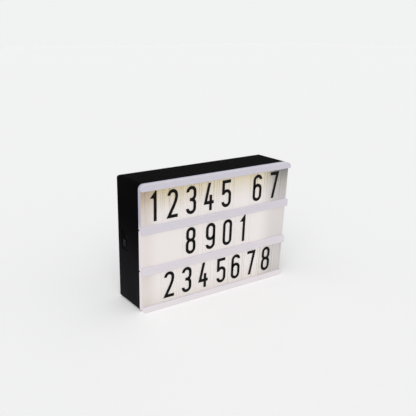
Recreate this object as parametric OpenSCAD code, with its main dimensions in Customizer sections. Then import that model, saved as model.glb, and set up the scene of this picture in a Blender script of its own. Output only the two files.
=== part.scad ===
// Cinema light box: a shallow black housing with a white, lit front that
// carries three rows of slide-in digit cards. Runs on three AAA cells.
// Frame: +Z up, front faces -Y, origin under the middle of the box.

/* [Overall] */
// Width of the box, left to right
body_w = 148; // [146:1:152]
// Height of the box as it stands
body_h = 105; // [105:1:108]
// Depth of the box, rails to back wall
body_d = 40; // [38:1:42]
// Radius of the four corners seen from the front
corner_r = 4; // [3:0.5:5]
// Rounding of the back edges
back_edge_r = 2.5; // [1.5:0.5:3]

/* [White front] */
// Depth of all that is white, rails and panel rim
front_d = 5.3; // [5:0.1:6]
// How far the rails stand in front of the lit panel
rail_d = 3; // [2.8:0.1:3.4]
// Height of the top and bottom rail
edge_rail_h = 5.25; // [5:0.25:6]
// Height of the two middle rails
middle_rail_h = 6.75; // [6.5:0.25:8]
// Depth of the groove in a rail's edge, along Z
groove_depth = 1.5; // [1.25:0.25:1.5]
// Width of that groove, along Y
groove_gap = 0.9; // [0.8:0.1:1]
// Thickness of the lit panel
panel_t = 1.6; // [1.4:0.2:1.8]

/* [Cards] */
// Width of one digit card
card_w = 15.4; // [14:0.1:15.4]
// Thickness of one digit card
card_t = 0.5; // [0.4:0.1:0.6]

/* [Housing] */
// Wall thickness of the housing
wall = 2; // [2:0.1:2.4]
// Height of the screw posts above the middle of the box, up and down
post_dz = 16.9; // [16:0.1:18]
// Distance of the screw posts from the middle, left and right
post_x = 64; // [63:0.5:64.5]
// Distance between the two keyholes
keyhole_spacing = 70; // [66:1:74]
// Diameter of a keyhole's round end
keyhole_d = 8; // [7.5:0.5:8.5]
// Width of a keyhole's slot
keyhole_slot_w = 4.6; // [4.5:0.1:4.8]

/* [Battery bay] */
// Diameter of an AAA cell
cell_d = 10.2; // [10:0.1:10.5]
// Length of an AAA cell with its button
cell_l = 44.5; // [44:0.1:44.5]
// Distance between the axes of neighbouring cells
cell_pitch = 11.2; // [11.2:0.1:11.4]
// Inside length of the bay
bay_w = 54; // [54:1:56]
// Thickness of the bay's walls
bay_wall = 1.5; // [1.2:0.1:1.6]
// Thickness of the battery door
door_t = 1.5; // [1.4:0.1:1.6]

/* [Lighting and switch] */
// Number of LEDs on each of the two boards
leds_per_board = 5; // [3:1:5]
// Distance of each LED board from the middle
led_board_x = 50; // [49:0.5:51]
// Travel of the slide switch
switch_travel = 4; // [3:0.5:4]
// Height of the switch above the base
switch_z = 54; // [53:0.5:55]
// Distance of the switch behind the middle of the box
switch_y = 8.5; // [8:0.5:10]

/* [Hidden] */
eps = 0.01;
air = 0.1;             // gap between parts that only meet
$fn = 64;

// levels along Y
front_y = -body_d / 2;
back_y = body_d / 2;
panel_y = front_y + rail_d;             // face of the lit panel
housing_y = front_y + front_d;          // seam between white and black
inner_back_y = back_y - wall;

// the three windows between the rails
window_h = (body_h - 2 * edge_rail_h - 2 * middle_rail_h) / 3;
row_step = window_h + middle_rail_h;
window_z = [edge_rail_h + 2 * row_step, edge_rail_h + row_step, edge_rail_h];

// rails
rail_edge_r = 0.8;
rail_end_r = 1;
peg_r = 1.2;
peg_fit = 0.05;
edge_peg_x = [-66, 0, 66];
middle_peg_x = [-54, 0, 54];
stake_r = 2;
stake_t = 0.8;
edge_peg_l = 1.4;
edge_peg_inset = 1.8;

// cards: centres along X as the rows are set, left to right
card_air = 0.05;
card_h = window_h + 2 * groove_depth - 0.6;
card_r = 0.6;
top_row_x = [-62, -45.2, -27.9, -10.6, 7, 39.8, 58.1];
middle_row_x = [-27.5, -7.7, 9.8, 26.4];
bottom_row_x = [-47.9, -30.7, -13.7, 5.2, 20.8, 37.9, 55.2];

// panel rim, lip, bosses
rim_w = 3.4;
lip_l = 4;
lip_play = 0.1;
boss_r = 3.25;
boss_y = front_y + 10.2;
pilot_r = 1.25;
notch_h = 1.4;
notch_in = 0.9;
notch_d = 1.1;

// screw posts and case screws
post_r = 3.75;
post_front_y = boss_y + air;
post_floor_t = 4;
counterbore_r = 2.8;
screw_hole_r = 1.45;
screw_r = 1.22;
screw_head_r = 2.5;
screw_head_t = 1.8;
screw_l = 8.4;
post_z = [body_h / 2 - post_dz, body_h / 2 + post_dz];

// battery bay
bay_z0 = 10;
bay_h = 3 * cell_pitch + 1.4;
bay_z1 = bay_z0 + bay_h;
bay_mid_z = bay_z0 + bay_h / 2;
cell_z = [bay_mid_z + cell_pitch, bay_mid_z, bay_mid_z - cell_pitch];
cell_plus_side = [-1, 1, -1];
door_play = 0.2;
door_outer_y = back_y - 0.1;
door_inner_y = door_outer_y - door_t;
rebate_y = door_inner_y - 0.1;
bay_floor_y = back_y - 13.5;
cell_y = bay_floor_y + 0.3 + cell_d / 2;
rebate_side = 2.2;
rebate_z0 = bay_z0 - 2.4;
rebate_z1 = bay_z1 + 2;
collar_w = 0.8;
collar_t = 1;
door_z0 = rebate_z0 + door_play;
door_z1 = rebate_z1 - door_play;
door_edge_r = door_t / 2;               // the door turns about this round edge
door_pivot_y = door_inner_y + door_edge_r;
door_pivot_z = door_z0 + door_edge_r;
tab_x = 16;
tab_w = 8;
tab_y0 = back_y - 3.5;
tab_y1 = inner_back_y - 0.2;
tab_drop = 1.6;
tab_web = 1.5;
tab_play = 0.5;
tab_swing_y = back_y - 4.7;             // room for the tabs as the door turns
latch_w = 10;
latch_t = 0.9;
latch_y = back_y - 5.2;
latch_top_z = door_z1 - 0.4;
latch_gap = 1.2;
latch_play = 0.6;
latch_room_y = back_y - 6.1;
latch_wall = 1.2;

// contacts
plate_t = 0.4;
plate_x = bay_w / 2 - air;
button_l = 1;
button_r = 1.9;
cell_edge = 0.5;
bump_l = 2;
bump_r = 2.2;
cell_tip_x = plate_x - plate_t - bump_l;
cell_foot_x = cell_tip_x - cell_l;      // seen from the plus side
spring_l = cell_foot_x + plate_x - plate_t;
spring_wire = 0.7;
spring_turns = 4;
spring_r0 = 3.8;
spring_r1 = 2.4;
tab_plate_w = 3;
tab_tip_y = bay_floor_y - 3.4;

// keyholes
keyhole_z = 82;
keyhole_rise = 8;
pocket_wall = 1.2;
pocket_depth = 4.6;
pocket_w = 11;

// LED boards
board_t = 1;
board_w = 8;
board_z0 = 14;
board_l = 76;
board_y = inner_back_y - 3;             // front face of the boards
board_boss_r = 2.3;
board_screw_z = [28, 76];
small_pilot_r = 0.85;
small_screw_r = 0.82;
small_head_r = 1.8;
small_head_t = 1.2;
small_screw_l = 3.2;
led_w = 2.8;
led_l = 3.5;
led_t = 1.9;
led_z0 = 20;
led_step = 16;
sheet_t = 0.6;
sheet_y = inner_back_y - 0.3;

// switch
recess_d = 1;
recess_w = 10;
recess_h = 16;
knob_w = 4;
knob_h = 5;
knob_play = 0.2;
knob_top_x = -body_w / 2 + 0.1;
knob_rest_z = switch_z - switch_travel / 2;
flange_t = 0.8;
flange_w = 7;
flange_h = 14.4;
inner_x = -body_w / 2 + wall;
switch_board_x = -62.8;                 // face towards the middle of the box
switch_board_t = 1.2;
switch_board_y0 = switch_y - 8.3;
switch_board_y1 = switch_y + 3.7;
switch_board_h = 21.6;
standoff_y = switch_y - 5.9;
standoff_dz = 8.4;
standoff_r = 2;
switch_w = 4.6;
switch_h = 9;
switch_t = 4.4;
pin_step = 2.5;
pin_r = 0.4;
lever_w = 1.8;
lever_h = 1.6;
lever_tip_x = inner_x + 0.4;

// wires
wire_r = 0.6;
wire_sides = 8;
wire_steps = 5;

// ---- shared shapes -------------------------------------------------------

// extrudes an (x, z) outline from y0 to y1
module along_y(y0, y1) {
  translate([0, y1, 0])
    rotate([90, 0, 0])
      linear_extrude(y1 - y0) children();
}

// extrudes a (y, z) outline from x0 to x1
module along_x(x0, x1) {
  translate([x0, 0, 0])
    rotate([90, 0, 90])
      linear_extrude(x1 - x0) children();
}

// rectangle with round corners, centred on X and standing on z0
module round_rect(w, h, r, z0 = 0, x = 0) {
  translate([x - w / 2, z0]) {
    translate([r, 0]) square([w - 2 * r, h]);
    translate([0, r]) square([w, h - 2 * r]);
    for (cx = [r, w - r], cz = [r, h - r])
      translate([cx, cz]) circle(r);
  }
}

// cylinder along +Y from y0 to y1
module rod_y(x, z, r, y0, y1) {
  translate([x, y1, z]) rotate([90, 0, 0]) cylinder(r = r, h = y1 - y0);
}

// cylinder along +X from x0 to x1
module rod_x(y, z, r, x0, x1) {
  translate([x0, y, z]) rotate([0, 90, 0]) cylinder(r = r, h = x1 - x0);
}

// block given by its low and high corner
module block(lo, hi) {
  translate(lo) cube(hi - lo);
}

// pan head screw along Y: head towards -Y or +Y
module screw_y(x, z, seat_y, head_dir, r, l, head_r, head_t) {
  rod_y(x, z, r, head_dir > 0 ? seat_y - l : seat_y - eps,
        head_dir > 0 ? seat_y + eps : seat_y + l);
  difference() {
    rod_y(x, z, head_r, head_dir > 0 ? seat_y : seat_y - head_t,
          head_dir > 0 ? seat_y + head_t : seat_y);
    for (turn = [0, 90])
      translate([x, seat_y + head_dir * head_t, z])
        rotate([0, turn, 0])
          cube([head_r * 1.1, head_t, head_r * 0.28], center = true);
  }
}

// ---- tubes swept along a path ---------------------------------------------

function unit(v) = v / norm(v);

function spline_point(a, b, c, d, t) =
  0.5 * (2 * b + (c - a) * t + (2 * a - 5 * b + 4 * c - d) * t * t
         + (3 * b - a - 3 * c + d) * t * t * t);

function smooth_path(p, steps) = let (n = len(p)) concat(
  [for (i = [0 : n - 2], k = [0 : steps - 1])
    spline_point(p[max(i - 1, 0)], p[i], p[i + 1], p[min(i + 2, n - 1)], k / steps)],
  [p[n - 1]]);

function tangent(p, i) = let (n = len(p))
  unit(p[min(i + 1, n - 1)] - p[max(i - 1, 0)]);

// one normal for each point, turned as little as possible from ring to ring
function normals(p, i, last) = let (
    t = tangent(p, i),
    u = unit(last - (last * t) * t))
  i == len(p) - 1 ? [u] : concat([u], normals(p, i + 1, u));

module tube(path, r, sides) {
  n = len(path);
  t0 = tangent(path, 0);
  start = abs(t0[2]) < 0.9 ? [0, 0, 1] : [1, 0, 0];
  u = normals(path, 0, start);
  points = [for (i = [0 : n - 1]) let (v = cross(tangent(path, i), u[i]))
    for (s = [0 : sides - 1]) let (a = 360 * s / sides)
      path[i] + r * (cos(a) * u[i] + sin(a) * v)];
  side_faces = [for (i = [0 : n - 2], s = [0 : sides - 1]) let (
      a = i * sides + s, b = i * sides + (s + 1) % sides,
      c = a + sides, d = b + sides)
    each [[a, c, b], [b, c, d]]];
  caps = [for (s = [1 : sides - 2]) each [
    [0, s, s + 1],
    [(n - 1) * sides, (n - 1) * sides + s + 1, (n - 1) * sides + s]]];
  polyhedron(points = points, faces = concat(side_faces, caps), convexity = 8);
}

// ---- white front -----------------------------------------------------------

module front_panel() {
  outer_w = body_w - 2 * (wall + lip_play);
  outer_h = body_h - 2 * (wall + lip_play);
  inner_w = body_w - 2 * rim_w;
  inner_h = body_h - 2 * rim_w;
  color("ivory")
  difference() {
    union() {
      along_y(panel_y, panel_y + panel_t) round_rect(body_w, body_h, corner_r);
      along_y(panel_y, housing_y) difference() {
        round_rect(body_w, body_h, corner_r);
        round_rect(inner_w, inner_h, 1, rim_w);
      }
      along_y(panel_y + eps, housing_y + lip_l) difference() {
        round_rect(outer_w, outer_h, corner_r - wall, wall + lip_play);
        round_rect(inner_w, inner_h, 1, rim_w);
      }
      for (x = [-post_x, post_x], z = post_z)
        rod_y(x, z, boss_r, panel_y + eps, boss_y);
    }
    for (x = [-post_x, post_x], z = post_z)
      rod_y(x, z, pilot_r, panel_y + panel_t, boss_y + eps);
    for (x = middle_peg_x, row = [1, 2])
      rod_y(x, window_z[row] + window_h + middle_rail_h / 2,
            peg_r + peg_fit, panel_y - eps, housing_y);
    for (x = edge_peg_x, z = [edge_peg_inset, body_h - edge_peg_inset])
      rod_y(x, z, peg_r + peg_fit, panel_y - eps, panel_y + edge_peg_l + 0.2);
    // finger notches at the seam, for prising the front off
    for (side = [-1, 1], row = [1, 2])
      translate([side * body_w / 2, housing_y,
                 window_z[row] + window_h + middle_rail_h / 2])
        cube([2 * notch_in, 2 * notch_d, notch_h], center = true);
  }
}

// a rail standing from z0 to z1, with a groove under and over its face
module rail(z0, z1, groove_low, groove_high, end_profile_r) {
  face_y = panel_y - groove_gap;
  foot_z0 = z0 + (groove_low ? groove_depth : 0);
  foot_z1 = z1 - (groove_high ? groove_depth : 0);
  intersection() {
    along_x(-body_w / 2, body_w / 2) {
      translate([front_y + rail_edge_r, z0])
        square([face_y - front_y - rail_edge_r, z1 - z0]);
      translate([front_y, z0 + rail_edge_r])
        square([2 * rail_edge_r, z1 - z0 - 2 * rail_edge_r]);
      for (z = [z0 + rail_edge_r, z1 - rail_edge_r])
        translate([front_y + rail_edge_r, z]) circle(rail_edge_r);
      translate([face_y - eps, foot_z0])
        square([panel_y - face_y + eps, foot_z1 - foot_z0]);
    }
    along_y(front_y - 1, panel_y + 1)
      round_rect(body_w, z1 - z0, end_profile_r, z0);
    along_y(front_y - 1, panel_y + 1)
      round_rect(body_w, body_h, corner_r);
  }
}

module edge_rail(z0, z1, peg_z, groove_low, groove_high) {
  color("lavender") {
    rail(z0, z1, groove_low, groove_high, rail_end_r);
    for (x = edge_peg_x)
      rod_y(x, peg_z, peg_r, panel_y - eps, panel_y + edge_peg_l);
  }
}

module top_rail() {
  edge_rail(body_h - edge_rail_h, body_h, body_h - edge_peg_inset, true, false);
}

module bottom_rail() {
  edge_rail(0, edge_rail_h, edge_peg_inset, false, true);
}

// its pegs pass through the panel and are melted over behind it
module middle_rail(row) {
  z0 = window_z[row] + window_h;
  mid_z = z0 + middle_rail_h / 2;
  color("lavender") {
    rail(z0, z0 + middle_rail_h, true, true, rail_end_r);
    for (x = middle_peg_x) {
      rod_y(x, mid_z, peg_r, panel_y - eps, panel_y + panel_t + eps);
      rod_y(x, mid_z, stake_r, panel_y + panel_t, panel_y + panel_t + stake_t);
    }
  }
}

module upper_middle_rail() { middle_rail(1); }

module lower_middle_rail() { middle_rail(2); }

// ---- cards -----------------------------------------------------------------

module card(row, x) {
  color([0.9, 0.95, 1, 0.4])
    along_y(panel_y - card_air - card_t, panel_y - card_air)
      round_rect(card_w, card_h, card_r, window_z[row] - groove_depth + card_air, x);
}

// ---- housing ---------------------------------------------------------------

// outer body: round corners, and the four back edges rounded over
module housing_outside() {
  intersection() {
    along_y(housing_y, back_y) round_rect(body_w, body_h, corner_r);
    along_x(-body_w / 2 - 1, body_w / 2 + 1) {
      translate([housing_y - 1, 0])
        square([back_y - back_edge_r - housing_y + 1, body_h]);
      translate([housing_y, back_edge_r])
        square([back_y - housing_y, body_h - 2 * back_edge_r]);
      for (z = [back_edge_r, body_h - back_edge_r])
        translate([back_y - back_edge_r, z]) circle(back_edge_r);
    }
    translate([0, 0, -1]) linear_extrude(body_h + 2) {
      translate([-body_w / 2, housing_y - 1])
        square([body_w, back_y - back_edge_r - housing_y + 1]);
      translate([-body_w / 2 + back_edge_r, housing_y])
        square([body_w - 2 * back_edge_r, back_y - housing_y]);
      for (x = [-body_w / 2 + back_edge_r, body_w / 2 - back_edge_r])
        translate([x, back_y - back_edge_r]) circle(back_edge_r);
    }
  }
}

module keyhole_outline(x, extra = 0) {
  translate([x, keyhole_z]) circle(keyhole_d / 2 + extra);
  translate([x - keyhole_slot_w / 2 - extra, keyhole_z])
    square([keyhole_slot_w + 2 * extra, keyhole_rise]);
  translate([x, keyhole_z + keyhole_rise]) circle(keyhole_slot_w / 2 + extra);
}

module rear_housing() {
  pocket_z0 = keyhole_z - pocket_w / 2;
  pocket_h = keyhole_rise + pocket_w;
  bay_x = bay_w / 2;
  latch_room_x = latch_w / 2 + latch_play;
  color([0.09, 0.09, 0.1])
  difference() {
    union() {
      difference() {
        housing_outside();
        along_y(housing_y - 1, inner_back_y)
          round_rect(body_w - 2 * wall, body_h - 2 * wall, corner_r - wall, wall);
      }
      for (x = [-post_x, post_x], z = post_z)
        rod_y(x, z, post_r, post_front_y, inner_back_y + eps);
      // battery bay, a collar that backs the door's rebate, the latch's room
      block([-bay_x - bay_wall, bay_floor_y - bay_wall, bay_z0 - bay_wall],
            [bay_x + bay_wall, inner_back_y + eps, bay_z1 + bay_wall]);
      block([-bay_x - rebate_side - collar_w, inner_back_y - collar_t, rebate_z0 - collar_w],
            [bay_x + rebate_side + collar_w, inner_back_y + eps, rebate_z1 + collar_w]);
      block([-latch_room_x - latch_wall, latch_room_y - latch_wall, bay_z1],
            [latch_room_x + latch_wall, inner_back_y + eps, rebate_z1 + latch_wall]);
      for (side = [-1, 1])
        translate([side * keyhole_spacing / 2, 0, 0])
          block([-pocket_w / 2 - pocket_wall,
                 inner_back_y - pocket_depth - pocket_wall, pocket_z0 - pocket_wall],
                [pocket_w / 2 + pocket_wall,
                 inner_back_y + eps, pocket_z0 + pocket_h + pocket_wall]);
      for (x = [-led_board_x, led_board_x], z = board_screw_z)
        rod_y(x, z, board_boss_r, board_y + board_t, inner_back_y + eps);
      for (dz = [-standoff_dz, standoff_dz])
        rod_x(standoff_y, switch_z + dz, standoff_r, inner_x - eps,
              switch_board_x - switch_board_t);
    }
    // screw posts
    for (x = [-post_x, post_x], z = post_z) {
      rod_y(x, z, counterbore_r, post_front_y + post_floor_t, back_y + 1);
      rod_y(x, z, screw_hole_r, post_front_y - 1, post_front_y + post_floor_t + eps);
    }
    // battery bay, the rebate for its door, the room for the door's latch and
    // the slots that its tabs swing through
    block([-bay_x, bay_floor_y, bay_z0], [bay_x, back_y + 1, bay_z1]);
    block([-bay_x - rebate_side, rebate_y, rebate_z0],
          [bay_x + rebate_side, back_y + 1, rebate_z1]);
    block([-latch_room_x, latch_room_y, bay_z1 - eps],
          [latch_room_x, rebate_y + eps, rebate_z1]);
    for (x = [-tab_x, tab_x]) {
      block([x - tab_w / 2 - tab_play, tab_swing_y, rebate_z0],
            [x + tab_w / 2 + tab_play, rebate_y + eps, bay_z0 + eps]);
      block([x - tab_w / 2 - tab_play, tab_swing_y, rebate_z0 - tab_drop - tab_play],
            [x + tab_w / 2 + tab_play, inner_back_y, rebate_z0 + eps]);
    }
    // slots in the bay floor for the solder tabs
    for (end = [[-1, 0], [1, 2]])
      translate([end[0] * (plate_x - plate_t / 2), bay_floor_y - bay_wall / 2,
                 cell_z[end[1]]])
        cube([1, bay_wall + 1, tab_plate_w + 0.6], center = true);
    // keyholes
    for (side = [-1, 1]) {
      along_y(inner_back_y - 1, back_y + 1) keyhole_outline(side * keyhole_spacing / 2);
      translate([side * keyhole_spacing / 2, 0, 0])
        block([-pocket_w / 2, inner_back_y - pocket_depth, pocket_z0],
              [pocket_w / 2, inner_back_y, pocket_z0 + pocket_h]);
    }
    // pilot holes for the small screws
    for (x = [-led_board_x, led_board_x], z = board_screw_z)
      rod_y(x, z, small_pilot_r, board_y + board_t - 1, inner_back_y + 0.5);
    for (dz = [-standoff_dz, standoff_dz])
      rod_x(standoff_y, switch_z + dz, small_pilot_r,
            switch_board_x - switch_board_t - 5, switch_board_x);
    // switch: shallow recess in the side wall and the slot for its knob
    block([-body_w / 2 - 1, switch_y - recess_w / 2, switch_z - recess_h / 2],
          [-body_w / 2 + recess_d, switch_y + recess_w / 2, switch_z + recess_h / 2]);
    block([-body_w / 2 - 1, switch_y - knob_w / 2 - knob_play,
           switch_z - (knob_h + switch_travel) / 2 - knob_play],
          [inner_x + 1, switch_y + knob_w / 2 + knob_play,
           switch_z + (knob_h + switch_travel) / 2 + knob_play]);
  }
}

module case_screws() {
  color("silver")
    for (x = [-post_x, post_x], z = post_z)
      screw_y(x, z, post_front_y + post_floor_t, 1, screw_r, screw_l,
              screw_head_r, screw_head_t);
}

// ---- battery door and cells --------------------------------------------------

module battery_door() {
  half_w = bay_w / 2 + rebate_side - door_play;
  color([0.11, 0.11, 0.12])
  difference() {
    union() {
      block([-half_w, door_inner_y, door_pivot_z], [half_w, door_outer_y, door_z1]);
      rod_x(door_pivot_y, door_pivot_z, door_edge_r, -half_w, half_w);
      // two tabs hook behind the housing wall at the lower edge
      for (x = [-tab_x, tab_x]) {
        block([x - tab_w / 2, tab_y0, door_z0], [x + tab_w / 2, door_pivot_y, door_z0 + tab_web]);
        block([x - tab_w / 2, tab_y0, door_z0 - tab_drop],
              [x + tab_w / 2, tab_y1, door_z0 + eps]);
      }
      // springy latch, folded over at the upper edge
      block([-latch_w / 2, latch_y, latch_top_z - 2 * latch_t - latch_gap],
            [latch_w / 2, door_inner_y + eps, latch_top_z - latch_t - latch_gap]);
      block([-latch_w / 2, latch_y, latch_top_z - 2 * latch_t - latch_gap],
            [latch_w / 2, latch_y + latch_t, latch_top_z]);
      block([-latch_w / 2, latch_y, latch_top_z - latch_t],
            [latch_w / 2, door_inner_y + eps, latch_top_z]);
    }
    // grip ridges: shallow grooves across the outside, under the latch
    for (i = [0 : 4])
      block([-9, door_outer_y - 0.5, door_z1 - 10 - 2 * i],
            [9, door_outer_y + 1, door_z1 - 9.2 - 2 * i]);
    // finger dip over the latch
    translate([0, door_outer_y + 5.4, door_z1 - 3.4])
      rotate([0, 90, 0])
        cylinder(r = 6, h = 12, center = true);
  }
}

module cell(i) {
  side = cell_plus_side[i];
  color("darkslategray")
  translate([0, cell_y, cell_z[i]])
    rotate([0, side * 90, 0])
      rotate_extrude()
        polygon([
          [0, cell_foot_x],
          [cell_d / 2 - cell_edge, cell_foot_x],
          [cell_d / 2, cell_foot_x + cell_edge],
          [cell_d / 2, cell_tip_x - button_l - cell_edge],
          [cell_d / 2 - cell_edge, cell_tip_x - button_l],
          [button_r, cell_tip_x - button_l],
          [button_r, cell_tip_x],
          [0, cell_tip_x]]);
}

module cell_upper() { cell(0); }

module cell_middle() { cell(1); }

module cell_lower() { cell(2); }

// nickel plate at one end of the bay, over the cells from z0 to z1
module end_plate(side, z0, z1) {
  block([side > 0 ? plate_x - plate_t : -plate_x, bay_floor_y + air, z0],
        [side > 0 ? plate_x : -plate_x + plate_t, bay_floor_y + cell_d, z1]);
}

// pressed bump that meets a cell's button
module plus_bump(side, i) {
  translate([side * (plate_x - plate_t - bump_l / 2 + air / 2), cell_y, cell_z[i]])
    rotate([0, 90, 0])
      cylinder(r = bump_r, h = bump_l - air + 2 * eps, center = true);
}

// tab that reaches through the bay floor, where a wire is soldered
module solder_tab(side, i) {
  translate([side * (plate_x - plate_t / 2), (bay_floor_y + 1 + tab_tip_y) / 2, cell_z[i]])
    cube([plate_t, bay_floor_y + 1 - tab_tip_y, tab_plate_w], center = true);
}

module contact_positive() {
  color("silver") {
    end_plate(-1, cell_z[0] - 4.5, cell_z[0] + 4.5);
    plus_bump(-1, 0);
    solder_tab(-1, 0);
  }
}

module contact_negative() {
  color("silver") {
    end_plate(1, cell_z[2] - 4.5, cell_z[2] + 4.5);
    solder_tab(1, 2);
  }
}

module contact_bridge_left() {
  color("silver") {
    end_plate(-1, cell_z[2] - 4.5, cell_z[1] + 4.5);
    plus_bump(-1, 2);
  }
}

module contact_bridge_right() {
  color("silver") {
    end_plate(1, cell_z[1] - 4.5, cell_z[0] + 4.5);
    plus_bump(1, 1);
  }
}

// conical spring behind a cell's flat end, wound as one unbroken wire
module cell_spring(i) {
  side = -cell_plus_side[i];
  foot = plate_x - plate_t - spring_wire / 2 - air / 2;
  length = spring_l - spring_wire - air;
  rings = spring_turns * 8;
  path = [for (k = [0 : rings]) let (
      f = k / rings,
      r = spring_r0 + (spring_r1 - spring_r0) * f,
      a = 360 * spring_turns * f)
    [side * (foot - length * f), cell_y + r * cos(a), cell_z[i] + r * sin(a)]];
  color("silver") tube(path, spring_wire / 2, 6);
}

module spring_upper() { cell_spring(0); }

module spring_middle() { cell_spring(1); }

module spring_lower() { cell_spring(2); }

// ---- lighting ----------------------------------------------------------------

// white sheet on the back wall, cut out round everything that stands there
module reflector_sheet() {
  color("white")
  along_y(sheet_y - sheet_t, sheet_y) difference() {
    round_rect(body_w - 2 * wall - 2, body_h - 2 * wall - 2, 1.5, wall + 1);
    translate([-bay_w / 2 - 3.5, bay_z0 - 5]) square([bay_w + 7, bay_h + 10]);
    for (x = [-post_x, post_x], z = post_z)
      translate([x, z]) circle(post_r + 0.5);
    for (x = [-led_board_x, led_board_x], z = board_screw_z)
      translate([x, z]) circle(board_boss_r + 0.4);
    for (side = [-1, 1])
      round_rect(pocket_w + 2 * pocket_wall + 1, pocket_w + keyhole_rise + 2 * pocket_wall + 1,
                 1, keyhole_z - pocket_w / 2 - pocket_wall - 0.5, side * keyhole_spacing / 2);
  }
}

module led_board(x) {
  color("honeydew")
  difference() {
    block([x - board_w / 2, board_y, board_z0],
          [x + board_w / 2, board_y + board_t - eps, board_z0 + board_l]);
    for (z = board_screw_z) rod_y(x, z, 1.1, board_y - 1, board_y + board_t + 1);
  }
}

module led_board_left() { led_board(-led_board_x); }

module led_board_right() { led_board(led_board_x); }

// white LED packages with a round window in the front face
module leds(x) {
  color("lightyellow")
  for (i = [0 : leds_per_board - 1])
    difference() {
      block([x - led_w / 2, board_y - led_t, led_z0 + i * led_step - led_l / 2],
            [x + led_w / 2, board_y, led_z0 + i * led_step + led_l / 2]);
      rod_y(x, led_z0 + i * led_step, 1.15, board_y - led_t - 1, board_y - led_t + 0.3);
    }
}

module leds_left() { leds(-led_board_x); }

module leds_right() { leds(led_board_x); }

module resistors() {
  color("black")
  for (x = [-led_board_x, led_board_x])
    block([x - 0.8, board_y - 0.6, led_z0 + led_step / 2 + 19],
          [x + 0.8, board_y, led_z0 + led_step / 2 + 22.2]);
}

module led_board_screws() {
  color("silver")
    for (x = [-led_board_x, led_board_x], z = board_screw_z)
      screw_y(x, z, board_y, -1, small_screw_r, small_screw_l, small_head_r, small_head_t);
}

// ---- switch --------------------------------------------------------------------

module switch_board() {
  x0 = switch_board_x - switch_board_t;
  color("darkgreen")
  difference() {
    block([x0 + eps, switch_board_y0, switch_z - switch_board_h / 2],
          [switch_board_x, switch_board_y1, switch_z + switch_board_h / 2]);
    for (dz = [-standoff_dz, standoff_dz])
      rod_x(standoff_y, switch_z + dz, 1.1, x0 - 1, switch_board_x + 1);
    for (k = [-1, 0, 1])
      rod_x(switch_y, switch_z + k * pin_step, pin_r + 0.1, x0 - 1, switch_board_x + 1);
  }
}

module switch_board_screws() {
  color("silver")
  for (dz = [-standoff_dz, standoff_dz]) {
    rod_x(standoff_y, switch_z + dz, small_screw_r, switch_board_x - 5, switch_board_x + eps);
    rod_x(standoff_y, switch_z + dz, small_head_r, switch_board_x,
          switch_board_x + small_head_t);
  }
}

module switch_body() {
  x0 = switch_board_x - switch_board_t;
  slot_h = lever_h + switch_travel + 0.4;
  color("silver")
  difference() {
    union() {
      block([x0 - switch_t, switch_y - switch_w / 2, switch_z - switch_h / 2],
            [x0, switch_y + switch_w / 2, switch_z + switch_h / 2]);
      for (k = [-1, 0, 1])
        rod_x(switch_y, switch_z + k * pin_step, pin_r, x0 - eps, switch_board_x + 0.9);
    }
    block([x0 - switch_t - 1, switch_y - lever_w / 2 - 0.1, switch_z - slot_h / 2],
          [x0 - switch_t + 2, switch_y + lever_w / 2 + 0.1, switch_z + slot_h / 2]);
  }
}

module switch_lever() {
  x0 = switch_board_x - switch_board_t - switch_t;
  color("dimgray")
    block([lever_tip_x, switch_y - lever_w / 2, knob_rest_z - lever_h / 2],
          [x0 + 1.8, switch_y + lever_w / 2, knob_rest_z + lever_h / 2]);
}

// ribbed knob: a flange behind the wall keeps light in
module switch_knob() {
  flange_x = inner_x + air;
  color([0.16, 0.16, 0.17])
  difference() {
    union() {
      block([knob_top_x, switch_y - knob_w / 2, knob_rest_z - knob_h / 2],
            [flange_x + flange_t, switch_y + knob_w / 2, knob_rest_z + knob_h / 2]);
      block([flange_x, switch_y - flange_w / 2, knob_rest_z - flange_h / 2],
            [flange_x + flange_t, switch_y + flange_w / 2, knob_rest_z + flange_h / 2]);
    }
    for (k = [-1.5 : 1 : 1.5])
      block([knob_top_x - 1, switch_y - knob_w, knob_rest_z + k - 0.25],
            [knob_top_x + 0.6, switch_y + knob_w, knob_rest_z + k + 0.25]);
    // socket for the lever
    block([lever_tip_x - 0.05, switch_y - lever_w / 2 - 0.05, knob_rest_z - lever_h / 2 - 0.05],
          [flange_x + flange_t + 1, switch_y + lever_w / 2 + 0.05,
           knob_rest_z + lever_h / 2 + 0.05]);
  }
}

// ---- wires -----------------------------------------------------------------------

pin_x = switch_board_x + 0.95;
tab_face_x = plate_x - plate_t;
tab_wire_y = tab_tip_y + 0.8;
dip_y = board_y - 2;                    // where a wire bends down to a board
sheet_face_y = board_y + 0.9;           // where the long wires lie on the sheet
battery_to_switch_route = [
  [-tab_face_x + wire_r + 0.05, tab_wire_y, cell_z[0]], [-25, tab_wire_y - 1.2, 40.5],
  [-28, tab_wire_y - 2.4, 44], [-36, tab_wire_y - 1.4, 49], [-46, switch_y - 3.5, 51],
  [-54, switch_y - 1, 51.4],
  [pin_x + 2, switch_y, switch_z - pin_step], [pin_x, switch_y, switch_z - pin_step]];
switch_to_leds_route = [
  [pin_x, switch_y, switch_z], [pin_x + 2, switch_y, switch_z], [-56, switch_y - 1.5, 55.5],
  [-51.5, dip_y - 4, 57.5], [-49, dip_y - 2, 59.5], [-48.5, dip_y, 60],
  [-48.5, board_y, 60]];
battery_return_route = [
  [tab_face_x - wire_r - 0.05, tab_wire_y, cell_z[2]], [25, tab_wire_y - 1.2, 18],
  [29, tab_wire_y - 1.8, 22], [36, tab_wire_y + 0.1, 30], [44, dip_y - 5.5, 38],
  [49, dip_y - 3, 43], [50, dip_y, 44], [50, board_y, 44]];
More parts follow.
